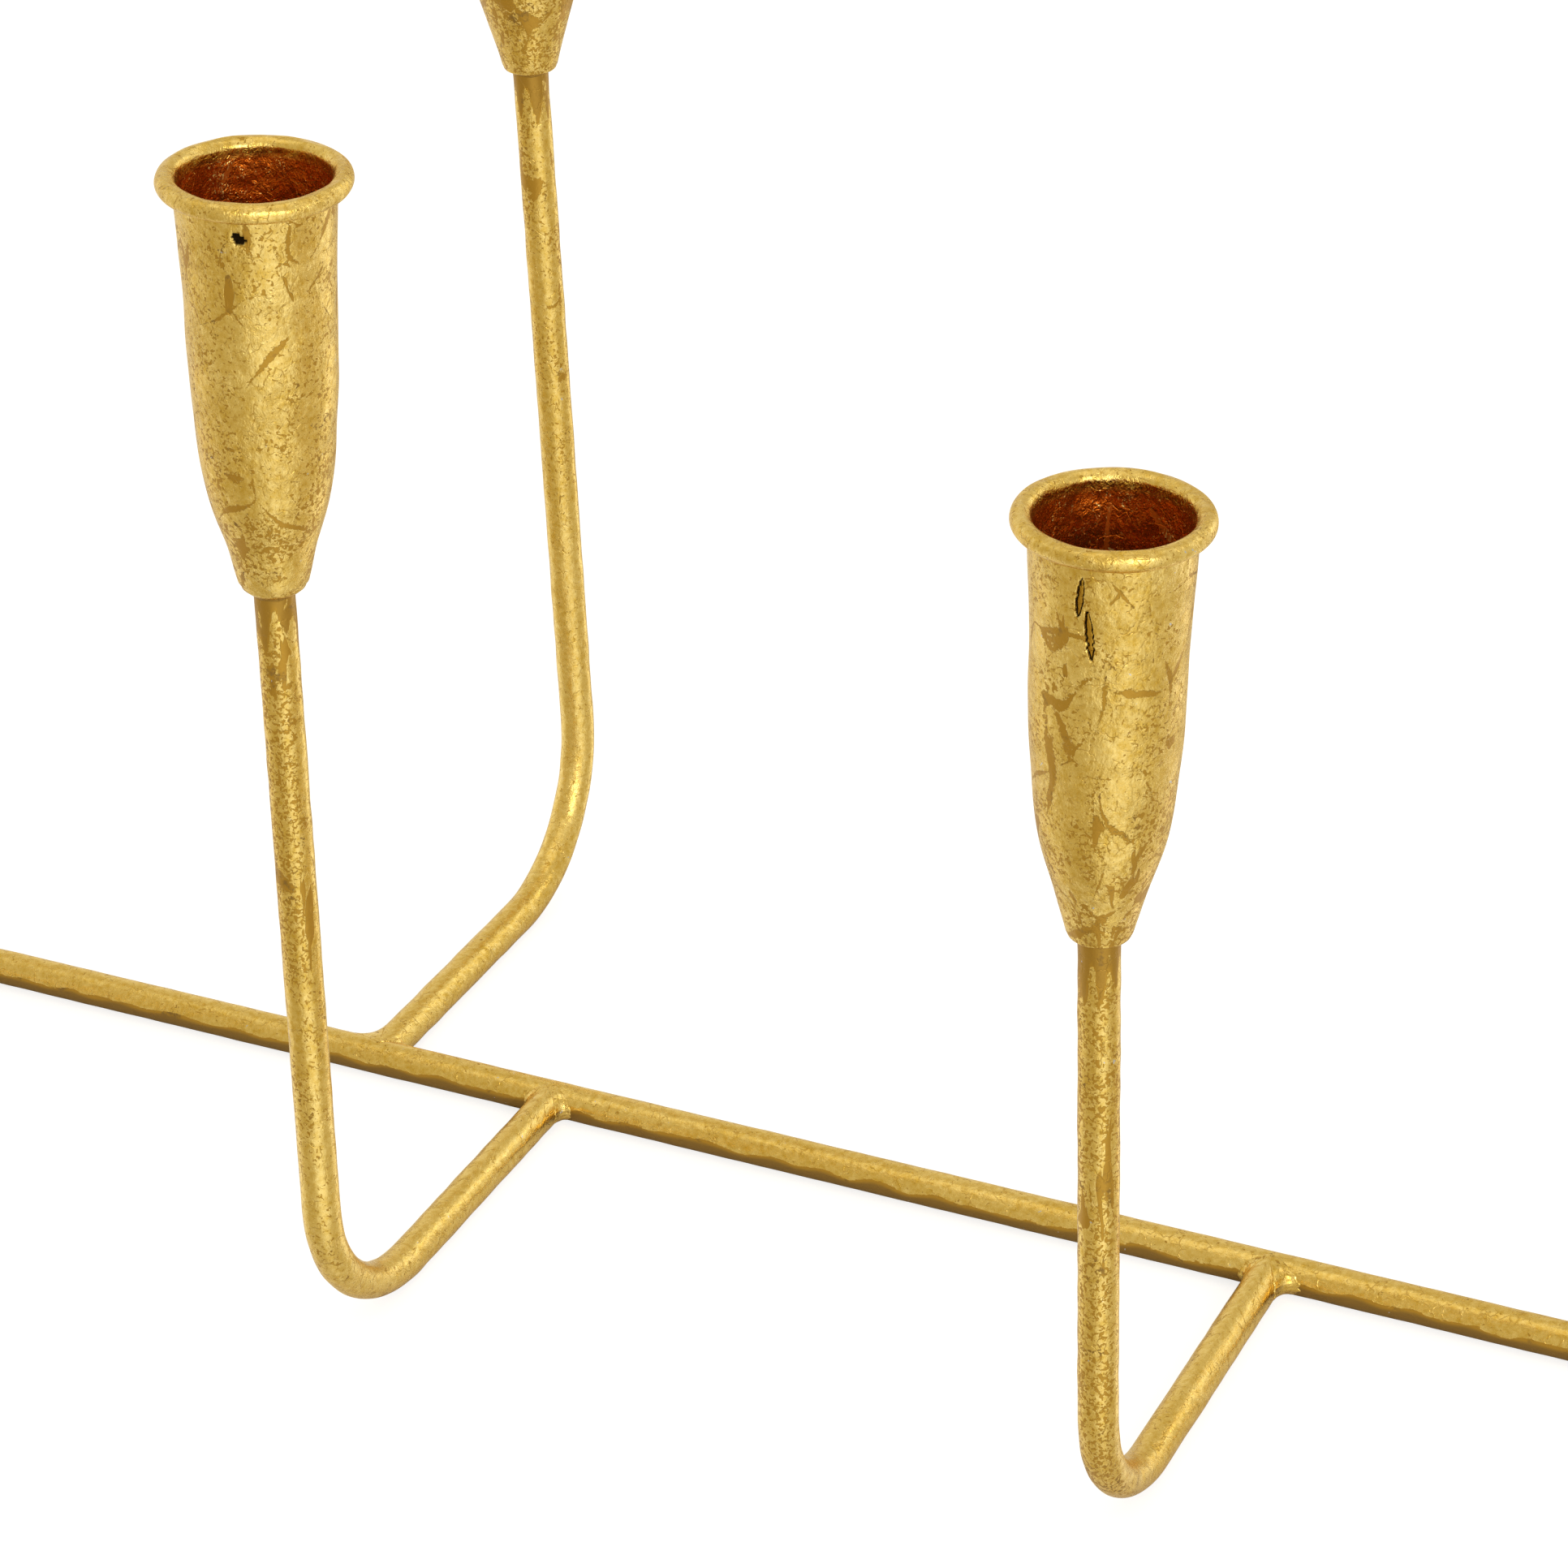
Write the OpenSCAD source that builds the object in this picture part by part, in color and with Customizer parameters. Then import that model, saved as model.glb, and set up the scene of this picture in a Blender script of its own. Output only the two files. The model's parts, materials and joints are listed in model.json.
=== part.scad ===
// Nine-light menorah, made from one size of round rod.
// A straight bar lies on the table. Nine arms are coped and welded square to it, some
// reaching forward and some back, and each bends upright to carry one candle cup.
// The frame: +Z up, X along the bar, the origin on the table under the bar's middle.

/* [Rod] */
// Diameter of the round rod that the bar and the arms are made of
rod_d = 6.35; // [5:0.05:8]
// Length of the bar past the axis of the last arm, at each end
bar_tail = 10; // [8:0.5:40]
// Bevel on the two ends of the bar
bar_bevel = 0.8; // [0.2:0.1:1.5]

/* [Arms] */
// Distance from the axis of the bar to the foot of a stem's axis, before an arm's own error
reach = 80; // [66:1:120]
// Radius of the bend of an arm, to the axis of the rod, before an arm's own error
bend_r = 28; // [22:0.5:40]
// Loss of the rod's diameter in the bend, where bending stretches it
bend_thinning = 0.02; // [0.01:0.01:0.1]
// Distance from the axis of the bar to the blunt end of a coped arm
cope_land = 1.2; // [0.6:0.1:2]

/* [Places along the bar] */
// Spacing of the front arms, the shamash in the middle among them
front_pitch = 133.2; // [90:0.1:160]
// Distance from the middle to each inner rear arm
inner_rear_x = 98.2; // [40:0.1:130]
// Distance from the middle to each outer rear arm
outer_rear_x = 330; // [180:1:400]

/* [Heights of the rims] */
// Height of the shamash's rim above the table
shamash_rim_z = 254; // [210:0.5:320]
// Height of the inner rear rims
inner_rear_rim_z = 226.5; // [180:0.5:290]
// Height of the inner front rims
inner_front_rim_z = 205.6; // [160:0.1:270]
// Height of the outer front rims
outer_front_rim_z = 175.6; // [140:0.1:240]
// Height of the outer rear rims
outer_rear_rim_z = 148; // [115:0.5:210]

/* [Candle cups] */
// Diameter of the candle that a cup holds
candle_d = 20; // [16:0.1:24]
// Clearance all round the candle
candle_gap = 0.2; // [0.1:0.05:0.5]
// Length of the straight socket
socket_l = 20; // [12:0.5:30]
// Height of the flared lead-in between the socket and the rim
lead_in_l = 11; // [8:0.5:20]
// Height of the tapering bowl from its bottom to the foot of the socket
bowl_l = 34.5; // [24:0.5:50]
// Growth of the mouth's radius over the socket's
lead_in = 1.1; // [0.4:0.1:2.5]
// Wall of the cup at the foot of the socket
socket_wall = 0.75; // [0.6:0.05:2]
// Wall of the bowl at its floor
bowl_wall = 1.4; // [1:0.1:2.5]
// Wall of the neck around the rod's end
neck_wall = 1.475; // [1:0.025:3]
// Diameter of the rolled bead around the rim
bead_d = 3; // [2:0.1:5]
// Sideways tilt of a cup and of the rod's end in it from the stem, in degrees
cup_tilt = 1.7; // [-2:0.1:2]

/* [Joints] */
// Length of the rod's end inside the neck of a cup
tenon_l = 8; // [4:0.5:14]
// Loss of the rod's diameter over that end, where it is filed to fit
tenon_filing = 0.1; // [0.1:0.02:0.4]
// Clearance all round the rod's end in the neck
tenon_gap = 0.05; // [0.02:0.01:0.2]
// Radius of the brazed fillet under a cup
braze_r = 0.9; // [0.6:0.1:2]
// Height of the weld fillets, centred on the axis of the rod
weld_h = 3.4; // [2:0.1:4.5]

/* [Hidden] */
$fn = 64;
rod_r = rod_d / 2;
bar_end_x = max(outer_rear_x, 2 * front_pitch) + bar_tail;
socket_r = candle_d / 2 + candle_gap;
mouth_r = socket_r + lead_in;
bead_r = bead_d / 2;
cup_h = bowl_l + socket_l + lead_in_l;
neck_r = rod_r + tenon_gap + neck_wall;
REAR = 1;
FRONT = -1;

// One light: name, place along the bar, side, height of the rim, error of the arm's reach
// and of its bend radius, sideways lean and backward lean of the stem in degrees, and the
// radii of the weld fillets at its left and right (-X and +X) crotch.
LIGHTS = [
    ["shamash", 0,             FRONT, shamash_rim_z,     0,    0,    0.2,   0.2,  2.4, 2.0],
    ["right_1", inner_rear_x,  REAR,  inner_rear_rim_z,  1,    0,    -1.02, 0.33, 5.0, 1.0],
    ["right_2", front_pitch,   FRONT, inner_front_rim_z, -1.6, -2.1, 0.36,  0.27, 1.0, 1.8],
    ["right_3", 2*front_pitch, FRONT, outer_front_rim_z, -3.5, -5.2, -0.36, 0.06, 1.4, 3.0],
    ["right_4", outer_rear_x,  REAR,  outer_rear_rim_z,  0,    0,    0.5,   0.3,  2.2, 3.2],
    ["left_1", -inner_rear_x,  REAR,  inner_rear_rim_z,  0,    0,    0.4,   0.2,  1.6, 3.0],
    ["left_2", -front_pitch,   FRONT, inner_front_rim_z, 0,    0,    -0.6,  0.3,  2.6, 1.4],
    ["left_3", -2*front_pitch, FRONT, outer_front_rim_z, 0,    0,    0.2,   -0.2, 1.8, 2.4],
    ["left_4", -outer_rear_x,  REAR,  outer_rear_rim_z,  0,    0,    -0.4,  0.2,  3.0, 1.6]
];
function place_x(light) = light[1];
function side(light) = light[2];
function rim_z(light) = light[3];
function arm_reach(light) = reach + light[4];
function arm_bend_r(light) = bend_r + light[5];
function lean_side(light) = light[6];
function lean_back(light) = light[7];
function weld_left_r(light) = light[8];
function weld_right_r(light) = light[9];

// The stem's axis starts where the leg's axis and the stem's axis cross.
function turn(light) = 90 + lean_back(light);
function bend_run(light) = arm_bend_r(light) * tan(turn(light) / 2);
function rim_along(light) = (rim_z(light) - rod_r) / (cos(lean_back(light)) * cos(lean_side(light)));
function cup_along(light) = rim_along(light) - cup_h;

GILT = "#D2AE58";
CUP_GILT = "#C9A24E";
WELD_GILT = "#B08A3C";

// A cubic curve between two points [r, z]. The handles are shares of the step from a to b.
function curve(a, b, handle_a, handle_b, n) = [
    for (i = [0:n])
        let (
            t = i / n,
            step = b - a,
            p = a + [handle_a[0] * step[0], handle_a[1] * step[1]],
            q = a + [handle_b[0] * step[0], handle_b[1] * step[1]]
        )
        pow(1 - t, 3) * a + 3 * pow(1 - t, 2) * t * p + 3 * (1 - t) * t * t * q + pow(t, 3) * b
];

// A straight round rod along Z, from z = 0.
module rod(length) {
    cylinder(d = rod_d, h = length);
}

// The plain bar, without its bevels, for cutting what is fitted to it.
module bar_stock() {
    translate([-bar_end_x, 0, rod_r])
        rotate([0, 90, 0])
            rod(2 * bar_end_x);
}

// Puts a piece drawn for a rear arm at the bar in its light's place.
module at_foot(light) {
    translate([place_x(light), 0, rod_r])
        rotate([0, lean_side(light), 0])
            mirror([0, side(light) == FRONT ? 1 : 0, 0])
                children();
}

// Puts a piece on a stem, at a length along the stem's axis.
module on_stem(light, along) {
    at_foot(light)
        translate([0, arm_reach(light), 0])
            rotate([lean_back(light), 0, 0])
                translate([0, 0, along])
                    children();
}

// Puts a piece on the tilted axis of a cup, which starts at the cup's bottom.
module on_cup(light) {
    on_stem(light, cup_along(light))
        rotate([0, cup_tilt, 0])
            children();
}

// The leg of an arm and its bend, along +Y. The thinner bend runs a little way into
// the straight rod at both of its ends.
module bent_leg(light) {
    leg_end = arm_reach(light) - bend_run(light);
    lap = 0.6;
    translate([0, cope_land, 0])
        rotate([-90, 0, 0])
            rod(leg_end - cope_land);
    translate([0, leg_end, arm_bend_r(light)])
        rotate([0, 90, 0])
            rotate([0, 0, -lap])
                rotate_extrude(angle = turn(light) + 2 * lap)
                    translate([arm_bend_r(light), 0])
                        circle(d = rod_d - bend_thinning);
}

// The filed end of a rod in its cup. It runs a little way down into the stem.
module tenon() {
    lap = 1;
    translate([0, 0, -lap])
        cylinder(d = rod_d - tenon_filing, h = lap + tenon_l);
}

module base_bar() {
    color(GILT)
        translate([-bar_end_x, 0, rod_r])
            rotate([0, 90, 0])
                rotate_extrude()
                    polygon([
                        [0, 0],
                        [rod_r - bar_bevel, 0],
                        [rod_r, bar_bevel],
                        [rod_r, 2 * bar_end_x - bar_bevel],
                        [rod_r - bar_bevel, 2 * bar_end_x],
                        [0, 2 * bar_end_x]
                    ]);
}

module arm(light) {
    color(GILT) {
        difference() {
            at_foot(light)
                bent_leg(light);
            bar_stock();
        }
        on_stem(light, bend_run(light))
            rod(cup_along(light) - bend_run(light));
        on_cup(light)
            tenon();
    }
}

// The wall of a cup in section, bowl and flare, without its bead.
module cup_wall() {
    bead_at = [mouth_r + bead_r, cup_h];
    neck = [neck_r, 0];
    shoulder = [socket_r + socket_wall, bowl_l];
    lip = bead_at - [0.25 * bead_r, 0.8 * bead_r];
    mouth = bead_at + 0.96 * bead_r * [cos(170), sin(170)];
    socket_top = [socket_r, bowl_l + socket_l];
    socket_foot = [socket_r, bowl_l];
    bowl = curve(neck, shoulder, [0.67, 0.49], [0.79, 0.33], 10);
    floor_edge = [lookup(tenon_l, [for (p = bowl) [p[1], p[0]]]) - bowl_wall, tenon_l];
    polygon(concat(
        [[rod_r + tenon_gap, 0]],
        bowl,
        curve(shoulder, lip, [0.5, 0.4], [-0.4, 0.24], 6),
        curve(mouth, socket_top, [0.05, 0.35], [1, 0.6], 5),
        curve(socket_foot, floor_edge, [0.1, 0.3], [0.45, 0.75], 8),
        [[rod_r + tenon_gap, tenon_l]]
    ));
}

module cup(light) {
    color(CUP_GILT)
        on_cup(light)
            rotate_extrude() {
                cup_wall();
                translate([mouth_r + bead_r, cup_h])
                    circle(d = bead_d, $fn = 32);
            }
}

// A fillet of one crotch between the arm and the bar, drawn in the corner x > 0, y > 0.
module crotch_fillet(fillet_r) {
    corner = rod_r + fillet_r;
    translate([0, 0, -weld_h / 2])
        linear_extrude(weld_h)
            difference() {
                square(corner - 0.05 * fillet_r);
                translate([corner, corner])
                    circle(r = fillet_r);
            }
}

module weld(light) {
    color(WELD_GILT)
        difference() {
            translate([place_x(light), 0, rod_r])
                mirror([0, side(light) == FRONT ? 1 : 0, 0]) {
                    mirror([1, 0, 0])
                        crotch_fillet(weld_left_r(light));
                    crotch_fillet(weld_right_r(light));
                }
            bar_stock();
            at_foot(light)
                rotate([-90, 0, 0])
                    rod(reach / 2);
        }
}

// The brazed ring in the corner under a cup, around its stem.
module braze(light) {
    land = 0.1 * braze_r;
    color(WELD_GILT)
        on_cup(light)
            rotate_extrude()
                difference() {
                    translate([rod_r, -braze_r])
                        square(braze_r);
                    translate([rod_r + braze_r + land, -braze_r - land])
                        circle(r = braze_r);
                }
}

base_bar();
for (light = LIGHTS) {
    arm(light);
    cup(light);
    weld(light);
    braze(light);
}
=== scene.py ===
"""Gilded nine-light menorah: leafed round rod, tulip cups, welds and brazed joints."""
import json
import math

import bpy
import numpy as np
from bpy.props import FloatProperty, FloatVectorProperty, IntProperty, PointerProperty
from mathutils import Matrix, Vector


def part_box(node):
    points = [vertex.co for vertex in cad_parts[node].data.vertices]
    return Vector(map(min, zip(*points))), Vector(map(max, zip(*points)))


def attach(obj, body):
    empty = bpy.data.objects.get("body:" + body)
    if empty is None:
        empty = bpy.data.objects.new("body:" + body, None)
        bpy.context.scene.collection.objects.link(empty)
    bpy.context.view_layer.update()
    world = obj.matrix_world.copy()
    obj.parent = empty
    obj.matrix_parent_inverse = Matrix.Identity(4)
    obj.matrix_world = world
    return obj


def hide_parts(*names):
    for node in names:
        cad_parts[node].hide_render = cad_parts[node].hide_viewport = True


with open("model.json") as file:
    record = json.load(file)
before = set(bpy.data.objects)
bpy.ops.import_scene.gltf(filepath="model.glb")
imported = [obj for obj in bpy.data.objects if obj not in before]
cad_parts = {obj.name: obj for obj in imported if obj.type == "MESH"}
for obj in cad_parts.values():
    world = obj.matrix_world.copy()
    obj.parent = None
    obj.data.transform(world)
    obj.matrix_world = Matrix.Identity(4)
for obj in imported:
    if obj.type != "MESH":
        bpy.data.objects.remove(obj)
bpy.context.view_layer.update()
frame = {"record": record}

bl_info = {
    "name": "Gilded menorah",
    "version": (1, 0, 0),
    "blender": (4, 5, 0),
    "location": "3D View > Sidebar > Menorah",
    "description": "Builds the rods, cups, welds and gold leaf of a nine-light menorah",
    "category": "Object",
}

MM = 0.001
BODY = "root"
bar_low, bar_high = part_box("base_bar")
ROD_R = (bar_high.z - bar_low.z) / 2

# Each arm's bend radius and its weld fillets at the left and right crotch, in metres,
# and how far the leaf on its stem is rubbed, from 0 to 1.
ARM_WORK = {
    "shamash": (28.0 * MM, 2.4 * MM, 2.0 * MM, 0.5),
    "right_1": (28.0 * MM, 5.0 * MM, 1.0 * MM, 0.2),
    "right_2": (25.9 * MM, 1.0 * MM, 1.8 * MM, 0.35),
    "right_3": (22.8 * MM, 1.4 * MM, 3.0 * MM, 0.95),
    "right_4": (28.0 * MM, 2.2 * MM, 3.2 * MM, 0.6),
    "left_1": (28.0 * MM, 1.6 * MM, 3.0 * MM, 0.4),
    "left_2": (28.0 * MM, 2.6 * MM, 1.4 * MM, 0.8),
    "left_3": (28.0 * MM, 1.8 * MM, 2.4 * MM, 0.3),
    "left_4": (28.0 * MM, 3.0 * MM, 1.6 * MM, 0.7),
}
CUP_TILT = math.radians(1.7)

# Tears in a cup's wall, each a lens from one place to another: angle in degrees and
# height in millimetres of both ends, the half width in millimetres, and 1 where a flap
# of wall shows in it or 0 where it is an open pit.
TEARS = {
    "right_2": [(13.5, 61.7, 22.0, 60.3, 0.75, 0), (20.0, 61.0, 25.0, 60.5, 0.25, 0)],
    "right_3": [(1.0, 61.8, -2.5, 55.6, 0.55, 1), (4.5, 56.9, 8.5, 49.2, 0.58, 1)],
}
# The cups whose neck ends in a fuller, rounder collar, and its extra radius in metres.
COLLARS = {"right_2": 0.25 * MM}
# Height of the socket mount above the bottom of its cup, along the cup.
SOCKET_MIDDLE = 44.5 * MM
FOOT_ROUNDING = 0.5 * MM
TEAR_DEPTH = 0.5 * MM
# Steps in a cup's flare, and the points round it that are added where it is torn.
FLARE_STEPS, TORN_FLARE_STEPS, TORN_SIDES = 48, 130, 64
# How far a piece's hidden end runs into the rod that it is joined to.
COPE_LAP = 0.3 * MM
BRAZE_LAP = 0.15 * MM
# The lump in each weld: its place round the leg and along the fillet's sweep (0 at the
# leg, 1 at the bar), its width in each, and its height.
LUMP_ANGLE, LUMP_SWEEP = math.radians(52), 0.35
LUMP_WIDTH, LUMP_REACH = 0.30, 0.28
LUMP_HEIGHT = 0.55 * MM
# The lowest point of a weld, so that it clears the table.
WELD_CLEARANCE = 0.02 * MM

# Width of a sheet of leaf in millimetres, and the painted shade of an open tear: the dark seen in
# its pit and in the gap round a flap.
SHEET = 12.0
PIT_SHADE = (0.014, 0.008, 0.003, 1.0)
WHITE = (1.0, 1.0, 1.0, 1.0)


class Light:
    """One arm with its cup, placed from the socket mount in the record. The cup stands on
    the stem with a small sideways tilt."""

    def __init__(self, mount, number):
        self.name = mount["name"].replace("_socket", "")
        self.seed = number
        self.bend_radius, self.weld_left, self.weld_right, self.rub = ARM_WORK[self.name]
        self.axis = np.array(mount["axis"], float)
        self.axis /= np.linalg.norm(self.axis)
        self.bottom = np.array(mount["pos_m"], float) - SOCKET_MIDDLE * self.axis
        x, y, z = self.axis
        cos, sin = math.cos(CUP_TILT), math.sin(CUP_TILT)
        self.stem = np.array([cos * x - sin * z, y, sin * x + cos * z])
        self.length = (self.bottom[2] - ROD_R) / self.stem[2]
        self.foot = self.bottom - self.stem * self.length
        self.leg = np.array([0.0, math.copysign(1.0, self.foot[1]), 0.0])
        self.reach = abs(self.foot[1])


LIGHTS = [
    Light(mount, number)
    for number, mount in enumerate(frame["record"]["mounts"])
    if mount["name"].endswith("_socket")
]


# ---------------------------------------------------------------- sizes and colours


class RodSizes(bpy.types.PropertyGroup):
    ring_step: FloatProperty(
        name="Ring step", description="Distance between rings along a rod",
        default=0.7 * MM, unit="LENGTH")
    sides: IntProperty(name="Sides", description="Points around a rod", default=48)
    lump: FloatProperty(
        name="Lumps", description="Depth of the hammered lumps in a rod",
        default=0.07 * MM, unit="LENGTH")
    bar_rounding: FloatProperty(
        name="Bar ends", description="Rounding of the two ends of the bar",
        default=0.8 * MM, unit="LENGTH")
    bare_neck: FloatProperty(
        name="Bare neck", description="Length of rod under a cup that the leaf misses",
        default=7 * MM, unit="LENGTH")


class CupSizes(bpy.types.PropertyGroup):
    bowl: FloatProperty(
        name="Bowl", description="Height of the tapering bowl",
        default=34.5 * MM, unit="LENGTH")
    socket: FloatProperty(
        name="Socket", description="Length of the straight socket",
        default=20 * MM, unit="LENGTH")
    lead_in: FloatProperty(
        name="Lead-in", description="Height from the socket to the middle of the bead",
        default=11 * MM, unit="LENGTH")
    socket_radius: FloatProperty(
        name="Socket radius", description="Inner radius of the straight socket",
        default=10.2 * MM, unit="LENGTH")
    mouth_radius: FloatProperty(
        name="Mouth radius", description="Inner radius inside the rolled bead",
        default=11.3 * MM, unit="LENGTH")
    bead_radius: FloatProperty(
        name="Bead radius", description="Radius of the rolled bead's own section",
        default=1.5 * MM, unit="LENGTH")
    shoulder_radius: FloatProperty(
        name="Shoulder radius", description="Outer radius at the foot of the socket",
        default=10.95 * MM, unit="LENGTH")
    neck_radius: FloatProperty(
        name="Neck radius", description="Outer radius at the bottom of the cup",
        default=4.7 * MM, unit="LENGTH")
    floor_height: FloatProperty(
        name="Floor height", description="Height of the floor inside the cup",
        default=8 * MM, unit="LENGTH")
    floor_radius: FloatProperty(
        name="Floor radius", description="Radius of the floor inside the cup",
        default=5.5 * MM, unit="LENGTH")
    sides: IntProperty(name="Sides", description="Points around a cup", default=160)
    dent: FloatProperty(
        name="Dents", description="Depth of the shallow dents in the cup's wall",
        default=0.16 * MM, unit="LENGTH")
    braze: FloatProperty(
        name="Braze", description="Radius of the brazed fillet under a cup",
        default=0.9 * MM, unit="LENGTH")


class LeafFinish(bpy.types.PropertyGroup):
    leaf_light: FloatVectorProperty(
        name="Leaf, light", description="Gold leaf where it lies flat",
        subtype="COLOR", default=(0.92, 0.69, 0.235), min=0, max=1)
    # Also painted reflection: the band of deep gold just inside a cup's lip.
    leaf_deep: FloatVectorProperty(
        name="Leaf, deep", description="Gold leaf where it is doubled or dull",
        subtype="COLOR", default=(0.68, 0.43, 0.065), min=0, max=1)
    bole: FloatVectorProperty(
        name="Bole", description="Ochre ground under the leaf",
        subtype="COLOR", default=(0.48, 0.265, 0.030), min=0, max=1)
    # Grime and painted shade: the bole's dark, both where it is dirty and on the undersides and
    # brazed corners where shade falls.
    bole_grime_and_shade: FloatVectorProperty(
        name="Dark bole", description="Bole where it is thick or grimy",
        subtype="COLOR", default=(0.24, 0.14, 0.035), min=0, max=1)
    # Painted shade: a deep red for the light bounced and lost inside the cups, not a colour of the
    # bole itself.
    inside: FloatVectorProperty(
        name="Inside", description="Bole inside the cups",
        subtype="COLOR", default=(0.55, 0.125, 0.007), min=0, max=1)
    silver: FloatVectorProperty(
        name="Silver fleck", description="Bare metal where leaf and bole are rubbed through",
        subtype="COLOR", default=(0.62, 0.62, 0.64), min=0, max=1)


class StageSettings(bpy.types.PropertyGroup):
    camera_place: FloatVectorProperty(
        name="Camera", description="Place of the camera",
        subtype="TRANSLATION", unit="LENGTH", default=(0.4815, -0.6230, 0.4629))
    camera_turn: FloatProperty(
        name="Turn", description="Turn of the camera about the upright axis",
        subtype="ANGLE", default=math.radians(25.842))
    camera_dip: FloatProperty(
        name="Dip", description="Angle of the view below the horizon",
        subtype="ANGLE", default=math.radians(29.182))
    camera_roll: FloatProperty(
        name="Roll", description="Roll of the camera about the line of sight",
        subtype="ANGLE", default=math.radians(-1.587))
    lens: FloatProperty(
        name="Lens", description="Focal length in millimetres on a 36 mm sensor",
        default=110.8)
    floor_size: FloatProperty(
        name="Floor", description="Width of the floor", default=30.0, unit="LENGTH")


# ---------------------------------------------------------------- surfaces


def cubic(a, b, c, d, n):
    """n points of the cubic with ends a and d and handles b and c."""
    t = np.linspace(0, 1, n)[:, None]
    a, b, c, d = (np.array(p, float) for p in (a, b, c, d))
    return (1 - t) ** 3 * a + 3 * (1 - t) ** 2 * t * b + 3 * (1 - t) * t * t * c + t**3 * d


def smooth(low, high, x):
    """0 below low, 1 above high, and a smooth S between them."""
    t = np.clip((x - low) / (high - low), 0, 1)
    return t * t * (3 - 2 * t)


def lumps(along, around, seed, longest=38 * MM, shortest=5 * MM, orders=4):
    """A smooth field in about -1 to 1: a sum of waves that run along the piece and wrap
    round it a whole number of times, each with its own length and phase."""
    draw = np.random.default_rng(seed)
    field = np.zeros(np.broadcast(along, around).shape)
    count = 18
    for _ in range(count):
        length = math.exp(draw.uniform(math.log(shortest), math.log(longest)))
        turns = draw.integers(0, orders)
        phase, twist = draw.uniform(0, 2 * math.pi, 2)
        field += np.sin(2 * math.pi * along / length + phase) * np.cos(turns * around + twist)
    return field / math.sqrt(count)


def grid_piece(name, points, fields, start_pole=None, end_pole=None, ring=True):
    """A mesh from a grid of points: rows run along the piece and columns round it, so
    columns always close. A pole closes an end with a fan; ring closes the rows too."""
    rows, columns = points.shape[:2]
    row = np.arange(rows if ring else rows - 1)[:, None]
    column = np.arange(columns)[None, :]
    next_row, next_column = (row + 1) % rows, (column + 1) % columns
    corners = (
        row * columns + column,
        row * columns + next_column,
        next_row * columns + next_column,
        next_row * columns + column,
    )
    faces = np.stack(np.broadcast_arrays(*corners), -1).reshape(-1, 4).tolist()
    places = points.reshape(-1, 3)
    edge = np.arange(columns)
    following = (edge + 1) % columns
    last = (rows - 1) * columns
    if start_pole is not None:
        pole = np.full(columns, len(places))
        faces += np.stack([pole, following, edge], -1).tolist()
        places = np.vstack([places, start_pole])
    if end_pole is not None:
        pole = np.full(columns, len(places))
        faces += np.stack([pole, last + edge, last + following], -1).tolist()
        places = np.vstack([places, end_pole])
    mesh = bpy.data.meshes.new(name)
    mesh.from_pydata(places, [], faces)
    mesh.polygons.foreach_set("use_smooth", np.ones(len(faces), bool))
    poles = len(places) - rows * columns
    for field, values in fields.items():
        width = 3 if values.ndim == 3 else 1
        flat = values.reshape(-1, width)
        ends = [flat[:columns].mean(0), flat[last:].mean(0)]
        if start_pole is None:
            ends = ends[1:]
        flat = np.vstack([flat] + ends[:poles])
        kind, key = ("FLOAT_VECTOR", "vector") if width == 3 else ("FLOAT", "value")
        layer = mesh.attributes.new(field, kind, "POINT")
        layer.data.foreach_set(key, flat.astype(np.float32).ravel())
    mesh.validate()
    piece = bpy.data.objects.new(name, mesh)
    bpy.context.scene.collection.objects.link(piece)
    return piece


def hand_over(piece, material, node):
    """Gives a piece its material and seats it on the frame in place of a CAD node."""
    piece.data.materials.append(material)
    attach(piece, BODY)
    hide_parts(node)


def unrolled(along, around, radius, seed):
    """The place of a point on a piece's own unbent form, in millimetres. It sets the
    patterns of the leaf, and the seed moves each piece to its own stretch of leaf."""
    shift = np.array([137.0, 71.0, 211.0]) * (seed + 1)
    along, around, radius = np.broadcast_arrays(along, around, radius)
    place = np.stack([radius * np.cos(around), radius * np.sin(around), along], -1)
    return place / MM + shift


def bar_surface(sizes):
    """The bar: a circle carried along X, drawn in at both ends in a quarter round. The
    radius is the rod's less a hammered field of lumps."""
    length = bar_high.x - bar_low.x
    rounding = sizes.bar_rounding
    turn = np.linspace(0, math.pi / 2, 6)[:-1]
    straight = np.linspace(rounding, length - rounding, int(length / sizes.ring_step))
    x = np.concatenate([rounding * (1 - np.cos(turn)), straight,
                        length - rounding * (1 - np.cos(turn[::-1]))])
    inset = np.concatenate([rounding * (1 - np.sin(turn)), np.zeros(len(straight)),
                            rounding * (1 - np.sin(turn[::-1]))])
    theta = np.linspace(0, 2 * math.pi, sizes.sides, endpoint=False)[None, :]
    x, inset = x[:, None], inset[:, None]
    hammered = sizes.lump * (lumps(x, theta, 5) - 1.6) * 0.5
    radius = ROD_R - inset + np.clip(hammered, -2 * sizes.lump, 0)
    shape = np.broadcast(x, theta).shape
    points = np.stack([
        np.broadcast_to(bar_low.x + x, shape),
        radius * np.sin(theta) + 0 * x,
        ROD_R + radius * np.cos(theta) + 0 * x,
    ], -1)
    wave = 0.14 * lumps(x, 0 * theta, 11, longest=60 * MM, shortest=9 * MM)
    under = smooth(-0.6, 0.2, wave - np.cos(theta))
    fields = {
        "place": unrolled(x, theta, ROD_R, 40),
        "bare": under,
        "wear": 0.1 + 0 * under,
        "cracks": 0.1 + 0 * under,
    }
    middle = np.array([0, 0, ROD_R])
    return points, fields, middle + [bar_low.x, 0, 0], middle + [bar_high.x, 0, 0]


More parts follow.
